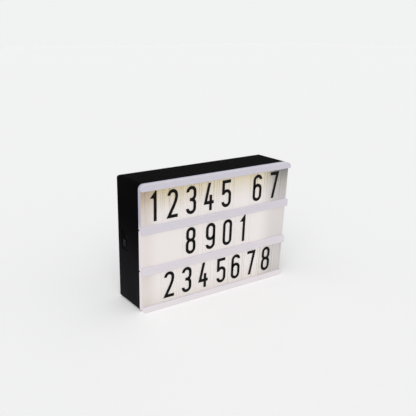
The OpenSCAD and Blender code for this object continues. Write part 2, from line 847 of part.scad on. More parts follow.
link_red_route = [
  [-51.5, board_y, 62], [-51.5, dip_y, 62], [-48, dip_y - 1.7, 63.5],
  [-40, dip_y + 1, 65.5], [-20, sheet_face_y - 0.2, 66], [0, sheet_face_y, 66.5],
  [20, sheet_face_y - 0.2, 66], [40, dip_y + 1, 65],
  [47, dip_y - 1.5, 62.5], [50, dip_y, 61.5], [50, board_y, 61.5]];
link_black_route = [
  [-50, board_y, 44], [-50, dip_y, 44], [-47, dip_y - 2, 46.5], [-40, dip_y + 0.5, 52],
  [-20, sheet_face_y - 0.4, 55], [0, sheet_face_y - 0.2, 56],
  [20, sheet_face_y - 0.4, 55.5], [40, dip_y + 1, 56],
  [47, dip_y - 1.7, 57], [50, dip_y, 57.2], [50, board_y, 57.2]];

module wire(route) {
  tube(smooth_path(route, wire_steps), wire_r, wire_sides);
}

module wire_battery_to_switch() { color("firebrick") wire(battery_to_switch_route); }

module wire_switch_to_leds() { color("firebrick") wire(switch_to_leds_route); }

module wire_battery_return() { color("black") wire(battery_return_route); }

module wire_link_red() { color("firebrick") wire(link_red_route); }

module wire_link_black() { color("black") wire(link_black_route); }

// ---- what is drawn -----------------------------------------------------------------

rear_housing();
front_panel();
top_rail();
upper_middle_rail();
lower_middle_rail();
bottom_rail();
case_screws();
card(0, top_row_x[0]);  // card_top_1
card(0, top_row_x[1]);  // card_top_2
card(0, top_row_x[2]);  // card_top_3
card(0, top_row_x[3]);  // card_top_4
card(0, top_row_x[4]);  // card_top_5
card(0, top_row_x[5]);  // card_top_6
card(0, top_row_x[6]);  // card_top_7
card(1, middle_row_x[0]);  // card_middle_1
card(1, middle_row_x[1]);  // card_middle_2
card(1, middle_row_x[2]);  // card_middle_3
card(1, middle_row_x[3]);  // card_middle_4
card(2, bottom_row_x[0]);  // card_bottom_1
card(2, bottom_row_x[1]);  // card_bottom_2
card(2, bottom_row_x[2]);  // card_bottom_3
card(2, bottom_row_x[3]);  // card_bottom_4
card(2, bottom_row_x[4]);  // card_bottom_5
card(2, bottom_row_x[5]);  // card_bottom_6
card(2, bottom_row_x[6]);  // card_bottom_7
battery_door();
cell_upper();
cell_middle();
cell_lower();
contact_positive();
contact_negative();
contact_bridge_left();
contact_bridge_right();
spring_upper();
spring_middle();
spring_lower();
reflector_sheet();
led_board_left();
led_board_right();
leds_left();
leds_right();
resistors();
led_board_screws();
switch_board();
switch_board_screws();
switch_body();
switch_lever();
switch_knob();
wire_battery_to_switch();
wire_switch_to_leds();
wire_battery_return();
wire_link_red();
wire_link_black();
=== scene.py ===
import math

import bmesh
import bpy
from mathutils import Matrix, Vector


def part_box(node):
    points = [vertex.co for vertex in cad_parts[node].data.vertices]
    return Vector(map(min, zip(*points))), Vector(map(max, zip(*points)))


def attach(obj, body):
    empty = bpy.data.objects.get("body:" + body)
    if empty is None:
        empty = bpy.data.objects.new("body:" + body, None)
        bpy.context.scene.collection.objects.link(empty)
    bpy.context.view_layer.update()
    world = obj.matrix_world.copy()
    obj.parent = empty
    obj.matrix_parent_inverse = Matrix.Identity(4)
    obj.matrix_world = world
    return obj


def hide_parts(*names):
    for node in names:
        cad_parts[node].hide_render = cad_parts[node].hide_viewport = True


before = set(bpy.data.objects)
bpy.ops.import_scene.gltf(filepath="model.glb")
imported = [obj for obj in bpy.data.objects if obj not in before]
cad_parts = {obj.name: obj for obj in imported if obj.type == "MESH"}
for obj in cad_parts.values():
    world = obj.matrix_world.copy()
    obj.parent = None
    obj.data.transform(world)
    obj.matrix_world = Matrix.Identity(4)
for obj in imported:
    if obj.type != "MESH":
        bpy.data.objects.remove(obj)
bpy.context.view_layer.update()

mm = 0.001
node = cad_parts


# ---- Camera -----------------------------------------------------------------
# The photograph looks at the box from the left and from above. The place and
# turns of the camera come from the box's own corners, in the box's frame.
view_size = 416
camera_place = Vector((-272.347, -362.302, 211.694)) * mm
camera_yaw = -32.586
camera_pitch = 23.421
camera_roll = 0.217
# focal length and optical centre, in pixels of the square picture
focal_px = 560.34
centre_px = (165, 268)

camera_data = bpy.data.cameras.new("camera")
camera = bpy.data.objects.new("camera", camera_data)
bpy.context.scene.collection.objects.link(camera)
yaw, pitch, roll = (math.radians(a) for a in (camera_yaw, camera_pitch, camera_roll))
look_back = Vector((math.sin(yaw) * math.cos(pitch), -math.cos(yaw) * math.cos(pitch),
                    math.sin(pitch)))
level_right = Vector((math.cos(yaw), math.sin(yaw), 0))
level_up = look_back.cross(level_right)
right = level_right * math.cos(roll) + level_up * math.sin(roll)
up = look_back.cross(right)
turn = Matrix((right, up, look_back)).transposed()
camera.matrix_world = Matrix.Translation(camera_place) @ turn.to_4x4()
camera_data.sensor_width = 36
camera_data.lens = focal_px / view_size * camera_data.sensor_width
camera_data.shift_x = (view_size / 2 - centre_px[0]) / view_size
camera_data.shift_y = (centre_px[1] - view_size / 2) / view_size
camera_data.clip_start = 0.01
bpy.context.scene.camera = camera


# ---- Floor and light --------------------------------------------------------
# A plain pale studio floor under a white sky, and one wide soft light high on
# the left. Where the camera looks past the floor it sees the floor's own tone.
def linear(red, green, blue):
    """A colour given as it shows, 0 to 255, as the shader's linear light."""
    return tuple(c / 12.92 if c < 0.04045 else ((c + 0.055) / 1.055) ** 2.4
                 for c in (red / 255, green / 255, blue / 255))


floor_mesh = bpy.data.meshes.new("floor")
floor_half = 6.0
floor_mesh.from_pydata([(side_x * floor_half, side_y * floor_half, 0) for side_x, side_y in
                        ((-1, -1), (1, -1), (1, 1), (-1, 1))], [], [(0, 1, 2, 3)])
floor = bpy.data.objects.new("floor", floor_mesh)
bpy.context.scene.collection.objects.link(floor)
floor_paint = bpy.data.materials.new("floor_paint")
floor_paint.use_nodes = True
paint = floor_paint.node_tree.nodes["Principled BSDF"]
paint.inputs["Base Color"].default_value = (0.93, 0.93, 0.925, 1)
paint.inputs["Roughness"].default_value = 0.8
paint.inputs["Specular IOR Level"].default_value = 0.1
paint.inputs["Emission Color"].default_value = (1.0, 1.0, 1.0, 1)
# the camera sees the floor a little lighter, so that it meets the sky's tone
floor_lift = 0.14
seen_directly = floor_paint.node_tree.nodes.new("ShaderNodeLightPath")
lift = floor_paint.node_tree.nodes.new("ShaderNodeMath")
lift.operation = "MULTIPLY"
lift.inputs[1].default_value = floor_lift
floor_paint.node_tree.links.new(seen_directly.outputs["Is Camera Ray"], lift.inputs[0])
floor_paint.node_tree.links.new(lift.outputs[0], paint.inputs["Emission Strength"])
floor_mesh.materials.append(floor_paint)

world = bpy.data.worlds.new("studio")
bpy.context.scene.world = world
world.use_nodes = True
sky_tree = world.node_tree
sky = sky_tree.nodes["Background"]
sky.inputs["Color"].default_value = (0.985, 0.99, 1.0, 1)
sky.inputs["Strength"].default_value = 0.60
far_floor_tone = linear(241, 242, 242)
far_floor = sky_tree.nodes.new("ShaderNodeBackground")
far_floor.inputs["Color"].default_value = (*far_floor_tone, 1)
ray = sky_tree.nodes.new("ShaderNodeLightPath")
either = sky_tree.nodes.new("ShaderNodeMixShader")
seen = None
for kind in ("Is Camera Ray", "Is Glossy Ray", "Is Transmission Ray"):
    total = sky_tree.nodes.new("ShaderNodeMath")
    total.operation = "ADD"
    total.use_clamp = True
    sky_tree.links.new(ray.outputs[kind], total.inputs[0])
    if seen:
        sky_tree.links.new(seen, total.inputs[1])
    else:
        total.inputs[1].default_value = 0.0
    seen = total.outputs[0]
sky_tree.links.new(seen, either.inputs[0])
sky_tree.links.new(sky.outputs[0], either.inputs[1])
sky_tree.links.new(far_floor.outputs[0], either.inputs[2])
sky_tree.links.new(either.outputs[0], sky_tree.nodes["World Output"].inputs["Surface"])

softbox = bpy.data.lights.new("softbox", "SUN")
softbox.energy = 1.05
softbox.angle = math.radians(50)
softbox_holder = bpy.data.objects.new("softbox", softbox)
bpy.context.scene.collection.objects.link(softbox_holder)
towards_light = Vector((-0.5, -0.6, 0.62))
softbox_holder.rotation_euler = towards_light.to_track_quat("Z", "Y").to_euler()
bpy.context.scene.view_settings.view_transform = "Standard"


# ---- Rear housing and battery door ------------------------------------------
# The housing is one black ABS moulding with a fine spark-eroded texture, open
# at the front. The door is moulded from the same stock. Its walls are painted
# greyer low down as painted light, and its edges a little paler, partly as
# handling wear and partly as a painted highlight.
def shader_group(name, inputs, outputs):
    """A new shader node group with its named sockets; returns tree, in and out nodes."""
    group = bpy.data.node_groups.new(name, "ShaderNodeTree")
    for label, kind, value in inputs:
        socket = group.interface.new_socket(name=label, in_out="INPUT", socket_type=kind)
        if value is not None:
            socket.default_value = value
    for label, kind in outputs:
        group.interface.new_socket(name=label, in_out="OUTPUT", socket_type=kind)
    return group, group.nodes.new("NodeGroupInput"), group.nodes.new("NodeGroupOutput")


def math_node(tree, operation, a, b=None, clamp=False):
    """A Math node fed by sockets or numbers; returns its output socket."""
    made = tree.nodes.new("ShaderNodeMath")
    made.operation = operation
    made.use_clamp = clamp
    for slot, value in enumerate((a, b)):
        if value is None:
            continue
        if isinstance(value, (int, float)):
            made.inputs[slot].default_value = value
        else:
            tree.links.new(value, made.inputs[slot])
    return made.outputs[0]


def noise_node(tree, vector, scale, detail=2.0, roughness=0.5):
    """A noise read at a vector; its scale may be a number or a socket."""
    made = tree.nodes.new("ShaderNodeTexNoise")
    tree.links.new(vector, made.inputs["Vector"])
    if isinstance(scale, (int, float)):
        made.inputs["Scale"].default_value = scale
    else:
        tree.links.new(scale, made.inputs["Scale"])
    made.inputs["Detail"].default_value = detail
    made.inputs["Roughness"].default_value = roughness
    return made.outputs["Fac"]


def ramp_node(tree, value, low, high, out_low=0.0, out_high=1.0):
    """Map Range from low..high to out_low..out_high, smooth and clamped."""
    made = tree.nodes.new("ShaderNodeMapRange")
    made.interpolation_type = "SMOOTHSTEP"
    tree.links.new(value, made.inputs["Value"])
    for label, number in (("From Min", low), ("From Max", high),
                          ("To Min", out_low), ("To Max", out_high)):
        made.inputs[label].default_value = number
    return made.outputs["Result"]


def mix_colour(tree, factor, a, b):
    """Mix of two colours; each may be a socket or a tuple."""
    made = tree.nodes.new("ShaderNodeMix")
    made.data_type = "RGBA"
    if isinstance(factor, (int, float)):
        made.inputs["Factor"].default_value = factor
    else:
        tree.links.new(factor, made.inputs["Factor"])
    for label, value in (("A", a), ("B", b)):
        socket = [s for s in made.inputs if s.name == label and s.type == "RGBA"][0]
        if isinstance(value, tuple):
            socket.default_value = (*value[:3], 1)
        else:
            tree.links.new(value, socket)
    return [s for s in made.outputs if s.type == "RGBA"][0]


# moulded plastic: colour and roughness that wander a little, and a fine grain
moulded, inlet, outlet = shader_group(
    "moulded_plastic",
    [("Color", "NodeSocketColor", (0.5, 0.5, 0.5, 1)),
     ("Pale Color", "NodeSocketColor", (0.6, 0.6, 0.6, 1)),
     ("Roughness", "NodeSocketFloat", 0.5),
     ("Grain Scale", "NodeSocketFloat", 2600.0),
     ("Drift", "NodeSocketFloat", 0.2)],
    [("Color", "NodeSocketColor"), ("Roughness", "NodeSocketFloat"),
     ("Height", "NodeSocketFloat")])
place = moulded.nodes.new("ShaderNodeTexCoord").outputs["Object"]
cloud = noise_node(moulded, place, 38.0, 4.0)
smear = noise_node(moulded, place, 210.0, 3.0)
grain = noise_node(moulded, place, inlet.outputs["Grain Scale"], 2.0, 0.6)
drift = math_node(moulded, "MULTIPLY", ramp_node(moulded, cloud, 0.35, 0.7),
                  inlet.outputs["Drift"])
moulded.links.new(mix_colour(moulded, drift, inlet.outputs["Color"],
                             inlet.outputs["Pale Color"]), outlet.inputs["Color"])
rough_drift = math_node(moulded, "MULTIPLY", math_node(moulded, "SUBTRACT", smear, 0.5), 0.14)
moulded.links.new(math_node(moulded, "ADD", inlet.outputs["Roughness"], rough_drift, True),
                  outlet.inputs["Roughness"])
moulded.links.new(grain, outlet.inputs["Height"])


def new_material(name):
    """A new material; returns it with its tree and Principled BSDF."""
    material = bpy.data.materials.new(name)
    material.use_nodes = True
    return material, material.node_tree, material.node_tree.nodes["Principled BSDF"]


def place_group(tree, group, **values):
    """Places a node group; in the names of its inputs _ stands for a space."""
    made = tree.nodes.new("ShaderNodeGroup")
    made.node_tree = group
    for label, value in values.items():
        made.inputs[label.replace("_", " ")].default_value = value
    return made


def add_bump(tree, shader, height, strength, distance):
    """Bump from a height; the distance is in metres."""
    bump = tree.nodes.new("ShaderNodeBump")
    bump.inputs["Strength"].default_value = strength
    bump.inputs["Distance"].default_value = distance
    tree.links.new(height, bump.inputs["Height"])
    tree.links.new(bump.outputs["Normal"], shader.inputs["Normal"])


def moulded_material(name, colour, pale, roughness, grain_scale, drift, bump, specular=0.5):
    """A moulded plastic; returns the material, its tree, shader and group node."""
    material, tree, shader = new_material(name)
    stock = place_group(tree, moulded, Color=(*colour, 1), Pale_Color=(*pale, 1),
                        Roughness=roughness, Grain_Scale=grain_scale, Drift=drift)
    tree.links.new(stock.outputs["Color"], shader.inputs["Base Color"])
    tree.links.new(stock.outputs["Roughness"], shader.inputs["Roughness"])
    add_bump(tree, shader, stock.outputs["Height"], bump, 0.00005)
    shader.inputs["Specular IOR Level"].default_value = specular
    return material, tree, shader, stock


def rough_by(tree, shader, noise, low, high):
    """Roughness that follows a noise, between two values."""
    tree.links.new(ramp_node(tree, noise, 0.3, 0.7, low, high), shader.inputs["Roughness"])


def object_axes(tree):
    """Object coordinates as a vector, and its x, y and z."""
    spot = tree.nodes.new("ShaderNodeTexCoord").outputs["Object"]
    axes = tree.nodes.new("ShaderNodeSeparateXYZ")
    tree.links.new(spot, axes.inputs[0])
    return (spot, *axes.outputs)


def normal_axes(tree):
    """The flat surface's own direction, as sockets named X, Y and Z."""
    facing = tree.nodes.new("ShaderNodeNewGeometry").outputs["True Normal"]
    axes = tree.nodes.new("ShaderNodeSeparateXYZ")
    tree.links.new(facing, axes.inputs[0])
    return axes.outputs


def finish_node(name, material):
    """Gives a CAD node its finish."""
    node[name].data.materials.clear()
    node[name].data.materials.append(material)


black_abs, tree, shader, stock = moulded_material(
    "black_abs", (0.003, 0.003, 0.0035), (0.006, 0.006, 0.0065), roughness=0.5,
    grain_scale=2400.0, drift=0.35, bump=0.3, specular=0.0015)
spot, x, y, z = object_axes(tree)
ny = normal_axes(tree)["Y"]
# painted light: the walls are painted greyer low down, as lit more from below
painted_low_light = mix_colour(tree, ramp_node(tree, z, 0.0, 0.080),
                      (0.0205, 0.0203, 0.0225), (0.0030, 0.0029, 0.0033))
# the back is etched coarser and shows greyer
etched = math_node(tree, "MULTIPLY", ramp_node(tree, ny, 0.5, 0.9),
                   ramp_node(tree, noise_node(tree, spot, 1500.0, 3.0), 0.25, 0.75, 0.6, 1.0))
dark_stock = mix_colour(tree, etched, painted_low_light, (0.0190, 0.0188, 0.0200))
# edges are painted a little paler, partly as wear and partly as a painted highlight: near two of
# the box's outer sides at once
half_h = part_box("rear_housing")[1].z / 2
end_wear_sheen, rim_wear_sheen, back_wear_sheen = (0.0722, 0.0738), (0.0508, 0.0524), (0.0183, 0.0199)
end_near = ramp_node(tree, math_node(tree, "ABSOLUTE", x), *end_wear_sheen)
rim_near = ramp_node(tree, math_node(tree, "ABSOLUTE", math_node(
    tree, "SUBTRACT", z, half_h)), *rim_wear_sheen)
back_near = ramp_node(tree, y, *back_wear_sheen)
edge_wear_and_sheen = math_node(tree, "MAXIMUM", math_node(tree, "MULTIPLY", end_near, rim_near),
                   math_node(tree, "MULTIPLY", back_near,
                             math_node(tree, "MAXIMUM", end_near, rim_near)))
wear_and_sheen_noise = ramp_node(tree, noise_node(tree, spot, 170.0, 4.0), 0.35, 0.75, 0.1, 0.7)
tree.links.new(mix_colour(tree, math_node(tree, "MULTIPLY", edge_wear_and_sheen, wear_and_sheen_noise), dark_stock,
                          (0.030, 0.030, 0.036)), stock.inputs["Color"])
finish_node("rear_housing", black_abs)
finish_node("battery_door", black_abs)


# ---- Front panel ------------------------------------------------------------
# A milky white polystyrene tray, lit by the LED boards behind its two ends. The
# top row shows yellower and dimmer under its rail, the right end is the dullest.
reflected = 0.225


def shown(red, green, blue):
    """The light to give off where a colour, 0 to 255, is to show in plain studio light."""
    return tuple(max(c - reflected, 0.0) for c in linear(red, green, blue))


def by_height(tree, z, stops):
    """A factor that changes with height; stops are a height in mm and the factor there."""
    made = tree.nodes.new("ShaderNodeValToRGB")
    tree.links.new(math_node(tree, "MULTIPLY", z, 1 / (2 * half_h)), made.inputs["Fac"])
    ramp = made.color_ramp
    while len(ramp.elements) < len(stops):
        ramp.elements.new(0.5)
    for element, (height, factor) in zip(ramp.elements, stops):
        element.position = height * mm / (2 * half_h)
        element.color = (factor, factor, factor, 1)
    return made.outputs["Color"]


milk, tree, shader = new_material("milky_panel")
spot, x, y, z = object_axes(tree)
fully_lit = shown(233, 227, 225)
near_floor = shown(218, 208, 198)
top_middle = shown(214, 202, 174)
top_left = shown(203, 187, 150)
left_shade = shown(174, 155, 138)
right_shade = shown(121, 123, 118)
rim_high = shown(176, 173, 191)
rim_low = shown(224, 218, 223)
# where each tone begins and is full, in metres along x or up z
top_fade, top_left_fade, floor_fade = (0.078, 0.103), (-0.005, -0.062), (0.020, 0.002)
left_fade, right_fade, streak_fade = (-0.0575, -0.069), (0.043, 0.062), (0.052, 0.066)
rim_fade, rim_side = (0.064, 0.078), (-0.0731, -0.0736)
# how strong the shades and the streaks at the ends are, by height in mm
left_strength = [(20, 0.22), (31, 0.28), (40, 0.14), (66, 0.14), (77, 0.40), (87, 0.47),
                 (97, 0.87)]
right_strength = [(31, 0.33), (40, 0.25), (65, 0.21), (76, 0.48), (87, 0.55), (97, 0.95)]
streak_strength = [(6, 0.25), (31, 0.4), (40, 0.05), (66, 0.08), (76, 0.3), (96, 0.8)]
under_top_rail = mix_colour(tree, ramp_node(tree, x, *top_left_fade), top_middle, top_left)
glow = mix_colour(tree, ramp_node(tree, z, *top_fade), fully_lit, under_top_rail)
glow = mix_colour(tree, ramp_node(tree, z, *floor_fade, 0.0, 0.5), glow, near_floor)
to_left = math_node(tree, "MULTIPLY", ramp_node(tree, x, *left_fade),
                    by_height(tree, z, left_strength))
to_right = math_node(tree, "MULTIPLY", ramp_node(tree, x, *right_fade),
                     by_height(tree, z, right_strength))
glow = mix_colour(tree, to_left, glow, left_shade)
glow = mix_colour(tree, to_right, glow, right_shade)
rim_glow = mix_colour(tree, ramp_node(tree, z, *rim_fade), rim_low, rim_high)
glow = mix_colour(tree, ramp_node(tree, x, *rim_side), glow, rim_glow)
cloud = noise_node(tree, spot, 28.0, 3.0)
glow = mix_colour(tree, math_node(tree, "MULTIPLY", cloud, 0.06), glow, (0.42, 0.40, 0.36))
# noise drawn out upwards makes upright streaks
upright = tree.nodes.new("ShaderNodeCombineXYZ")
tree.links.new(math_node(tree, "MULTIPLY", x, 520.0), upright.inputs["X"])
tree.links.new(math_node(tree, "MULTIPLY", z, 6.0), upright.inputs["Z"])
streak = ramp_node(tree, noise_node(tree, upright.outputs[0], 1.0, 2.0, 0.6), 0.42, 0.7)
at_end = math_node(tree, "MULTIPLY", ramp_node(tree, x, *streak_fade),
                   by_height(tree, z, streak_strength))
glow = mix_colour(tree, math_node(tree, "MULTIPLY", streak, at_end), glow,
                  (0.05, 0.055, 0.045))
ny = normal_axes(tree)["Y"]
is_face = ramp_node(tree, math_node(tree, "MULTIPLY", ny, -1.0), 0.5, 0.9)
lit = mix_colour(tree, is_face, rim_glow, glow)
tree.links.new(lit, shader.inputs["Emission Color"])
shader.inputs["Emission Strength"].default_value = 1.0
mottle = noise_node(tree, spot, 160.0, 3.0)
tree.links.new(mix_colour(tree, mottle, (0.235, 0.235, 0.235), (0.255, 0.25, 0.25)),
               shader.inputs["Base Color"])
rough_by(tree, shader, mottle, 0.36, 0.5)
add_bump(tree, shader, noise_node(tree, spot, 1300.0, 2.0), 0.12, 0.00005)
finish_node("front_panel", milk)


# ---- Rails ------------------------------------------------------------------
# Four white styrene rails with rounded front edges, and with grooves behind
# those edges for the cards. Their pegs are pressed or melted into the panel, and
# some of its light comes through them, more so low down.
rail_white, tree, shader = moulded_material(
    "rail_white", (0.655, 0.635, 0.700), (0.685, 0.665, 0.725), roughness=0.38,
    grain_scale=1500.0, drift=0.5, bump=0.12, specular=0.4)[:3]
z = object_axes(tree)[3]
rail_glow = mix_colour(tree, by_height(tree, z, [(3, 0.0), (102, 1.0)]),
                       (0.172, 0.140, 0.108), (0.019, 0.006, 0.015))
nz = normal_axes(tree)["Z"]
# painted highlight: the upward-facing rounded edges give off a fixed light in place of the rails'
# glow
upper_edge_highlight = ramp_node(tree, nz, 0.7, 0.98)
tree.links.new(mix_colour(tree, upper_edge_highlight, rail_glow, (0.055, 0.048, 0.045)),
               shader.inputs["Emission Color"])
shader.inputs["Emission Strength"].default_value = 1.0
for name in ("top_rail", "upper_middle_rail", "lower_middle_rail", "bottom_rail"):
    finish_node(name, rail_white)


# ---- Cards ------------------------------------------------------------------
# Clear cards cut from half-millimetre film. They slide behind the rails' edges
# and each has one black digit printed on its face. The cut edges are brownish.
# Thin brownish upright streaks are painted shade on the film, in the top row and
# at the right of the bottom row where the panel's light is weaker; there the cut
# edges are painted stronger too.
card_film, tree, shader = new_material("card_film")
spot, x, y, z = object_axes(tree)
nx = normal_axes(tree)["X"]
across = tree.nodes.new("ShaderNodeCombineXYZ")
tree.links.new(math_node(tree, "MULTIPLY", x, 470.0), across.inputs["X"])
tree.links.new(math_node(tree, "MULTIPLY", z, 9.0), across.inputs["Z"])
# painted shade: brownish upright streaks on the film, where the panel's light is weaker
painted_streak_lines = ramp_node(tree, noise_node(tree, across.outputs[0], 1.0, 2.0, 0.6), 0.52, 0.72)
# they show in the top row, and at the right of the bottom row, in metres up z or along x
top_row_fade, bottom_row_fade, right_part_fade = (0.074, 0.098), (0.045, 0.03), (-0.01, 0.05)
in_top_row = ramp_node(tree, z, *top_row_fade)
in_bottom_row = math_node(tree, "MULTIPLY", ramp_node(tree, z, *bottom_row_fade),
                          ramp_node(tree, x, *right_part_fade))
show = math_node(tree, "ADD", in_top_row, math_node(tree, "MULTIPLY", in_bottom_row, 0.5))
stripe = math_node(tree, "MULTIPLY", painted_streak_lines, show, True)
cut_edge = ramp_node(tree, math_node(tree, "ABSOLUTE", nx), 0.5, 0.9)
film_colour = mix_colour(tree, stripe, (0.86, 0.84, 0.82), (0.36, 0.30, 0.17))
tree.links.new(mix_colour(tree, cut_edge, film_colour, (0.42, 0.38, 0.26)),
               shader.inputs["Base Color"])
film_alpha = math_node(tree, "ADD", math_node(tree, "MULTIPLY", stripe, 0.36), 0.035)
# painted shade: the cut edges show stronger where the panel's light is weaker
edge_alpha = math_node(tree, "MULTIPLY", cut_edge, ramp_node(tree, show, 0.0, 1.0, 0.12, 0.5))
tree.links.new(math_node(tree, "ADD", film_alpha, edge_alpha, True), shader.inputs["Alpha"])
rough_by(tree, shader, noise_node(tree, spot, 300.0), 0.12, 0.22)
rows = {"top": 7, "middle": 4, "bottom": 7}
for row, count in rows.items():
    for number in range(1, count + 1):
        finish_node(f"card_{row}_{number}", card_film)


# ---- Digits -----------------------------------------------------------------
# Tall, narrow figures screen-printed in black ink on the front of each card,
# drawn here as pen strokes of one width along a line down their middle.
stroke_w = 2.7
figure_w = 9.6
figure_h = 22.8
ink_t = 0.03
pen_w = figure_w - stroke_w
pen_h = figure_h - stroke_w
bowl = pen_w / 2
over = stroke_w / 2


def arc(cx, cy, r, start, end, steps=20):
    """Points on a round arc, in degrees, anticlockwise if end is past start."""
    return [(cx + r * math.cos(math.radians(start + (end - start) * k / steps)),
             cy + r * math.sin(math.radians(start + (end - start) * k / steps)))
            for k in range(steps + 1)]


# heights in a figure of the middles of its round stretches, and of a waist
top_y = pen_h - bowl
low_bowl_top = 8.9
six = [arc(bowl, top_y, bowl, 8, 180) + arc(bowl, bowl, bowl, 180, 360)
       + arc(bowl, low_bowl_top, bowl, 0, 180)]
waist = 10.5
small = bowl - 0.2
figures = {
    "0": [arc(bowl, top_y, bowl, 0, 180) + arc(bowl, bowl, bowl, 180, 360)],
    "1": [[(1.7, 16.9), (4.5, pen_h), (4.5, -over)]],
    "2": [arc(bowl, top_y, bowl, 180, 0) + [(pen_w, 14.9), (6.5, 12.9), (5.6, 10.6), (4.3, 7.9),
          (0, 0), (pen_w + over, 0)]],
    "3": [arc(bowl, top_y, bowl, 180, 0) + arc(bowl, waist + bowl, bowl, 0, -90) + [(2.1, waist)],
          [(2.1, waist)] + arc(bowl, waist - bowl, bowl, 90, 0) + arc(bowl, bowl, bowl, 0, -180)],
    "4": [[(3.7, pen_h + over), (0, 5.4), (pen_w + over, 5.4)],
          [(5.2, 11.5), (5.2, -over)]],
    "5": [[(pen_w + 0.5, pen_h), (0.1, pen_h), (0.1, 9.4)],
          arc(bowl, low_bowl_top, bowl, 170, 0) + arc(bowl, bowl, bowl, 0, -180)],
    "6": six,
    "7": [[(-over + 0.4, pen_h), (pen_w, pen_h), (2.5, -over)]],
    "8": [arc(bowl, bowl, bowl, 180, 360) + arc(bowl, waist - bowl, bowl, 0, 180),
          arc(bowl, waist + small, small, 180, 360) + arc(bowl, pen_h - small, small, 0, 180)],
    "9": [[(pen_w - x, pen_h - y) for x, y in six[0]]],
}
# strokes that run back into their own start
closed_strokes = {"0": (0,), "8": (0, 1)}


def ribbon(points, closed):
    """Outline points left and right of a pen stroke, mitred at its corners."""
    last = len(points) - 1
    sides = []
    for k, p in enumerate(points):
        here = Vector(p)
        before = Vector(points[k - 1]) if k or closed else None
        after = Vector(points[(k + 1) % len(points)]) if k < last or closed else None
        way_in = (here - before).normalized() if before else (after - here).normalized()
        way_out = (after - here).normalized() if after else way_in
        left_in = Vector((-way_in.y, way_in.x))
        left_out = Vector((-way_out.y, way_out.x))
        mitre = (left_in + left_out).normalized()
        reach = stroke_w / 2 / max(mitre.dot(left_in), 0.3)
        if (before is None or after is None) and abs(way_in.y) > 0.5 and abs(way_in.x) > 0.02:
            mitre = Vector((-1 if way_in.y > 0 else 1, 0))
            reach = stroke_w / 2 / abs(way_in.y)
        sides.append((here + mitre * reach, here - mitre * reach))
    return sides


def stroke_solid(points, closed):
    """A pen stroke as a thin closed solid in the plane of x and y, in millimetres."""
    unique = [p for k, p in enumerate(points)
              if k == 0 or (Vector(p) - Vector(points[k - 1])).length > 1e-4]
    if closed and (Vector(unique[0]) - Vector(unique[-1])).length < 1e-4:
        unique.pop()
    sides = ribbon(unique, closed)
    mesh = bmesh.new()
    rings = []
    for left, right_side in sides:
        rings.append([mesh.verts.new((p.x, p.y, z)) for p, z in
                      ((left, 0), (right_side, 0), (right_side, ink_t), (left, ink_t))])
    pairs = list(zip(rings, rings[1:])) + ([(rings[-1], rings[0])] if closed else [])
    for a, b in pairs:
        for k in range(4):
            mesh.faces.new((a[k], a[(k + 1) % 4], b[(k + 1) % 4], b[k]))
    if not closed:
        mesh.faces.new(rings[0])
        mesh.faces.new(rings[-1])
    bmesh.ops.recalc_face_normals(mesh, faces=mesh.faces)
    return mesh


def object_from(mesh, name):
    """An object in the scene made from an edited mesh, which is then freed."""
    data = bpy.data.meshes.new(name)
    mesh.to_mesh(data)
    mesh.free()
    made = bpy.data.objects.new(name, data)
    bpy.context.scene.collection.objects.link(made)
    return made


def apply_modifiers(thing):
    """Replaces an object's mesh by what its modifiers make of it."""
    bpy.context.view_layer.update()
    seen = thing.evaluated_get(bpy.context.evaluated_depsgraph_get())
    result = bpy.data.meshes.new_from_object(seen)
    thing.modifiers.clear()
    thing.data = result


figure_mesh = {}
for figure, strokes in figures.items():
    parts = [object_from(stroke_solid(points, k in closed_strokes.get(figure, ())),
                         f"stroke_{figure}_{k}") for k, points in enumerate(strokes)]
    whole = parts[0]
    for part in parts[1:]:
        union = whole.modifiers.new("join", "BOOLEAN")
        union.operation = "UNION"
        union.solver = "EXACT"
        union.object = part
        apply_modifiers(whole)
    for part in parts[1:]:
        bpy.data.objects.remove(part)
    figure_mesh[figure] = whole.data
    bpy.data.objects.remove(whole)

ink, tree, shader = new_material("black_ink")
spot = object_axes(tree)[0]
thin = noise_node(tree, spot, 900.0, 3.0)
tree.links.new(mix_colour(tree, ramp_node(tree, thin, 0.5, 0.85), (0.0012, 0.0010, 0.0012),
                          (0.006, 0.005, 0.005)), shader.inputs["Base Color"])
rough_by(tree, shader, thin, 0.42, 0.6)
add_bump(tree, shader, thin, 0.1, 0.00002)
shader.inputs["Specular IOR Level"].default_value = 0.12

messages = {"top": "1234567", "middle": "8901", "bottom": "2345678"}
figure_lift = 2.5
groove = 1.5
card_play = 0.05
ink_gap = 0.005
for row, message in messages.items():
    for number, figure in enumerate(message, 1):
        lo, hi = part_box(f"card_{row}_{number}")
        data = figure_mesh[figure].copy()
        centre = (lo.x + hi.x) / 2
        base = lo.z + (groove - card_play + figure_lift + over) * mm
        # the drawing's x, y and thickness become the box's X, Z and -Y
        data.transform(Matrix(((mm, 0, 0, centre - bowl * mm),
                               (0, 0, -mm, lo.y - ink_gap * mm),
                               (0, mm, 0, base),
                               (0, 0, 0, 1))))
        data.materials.append(ink)
        digit = bpy.data.objects.new(f"digit_{row}_{number}", data)
        bpy.context.scene.collection.objects.link(digit)
        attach(digit, f"card_{row}_{number}")


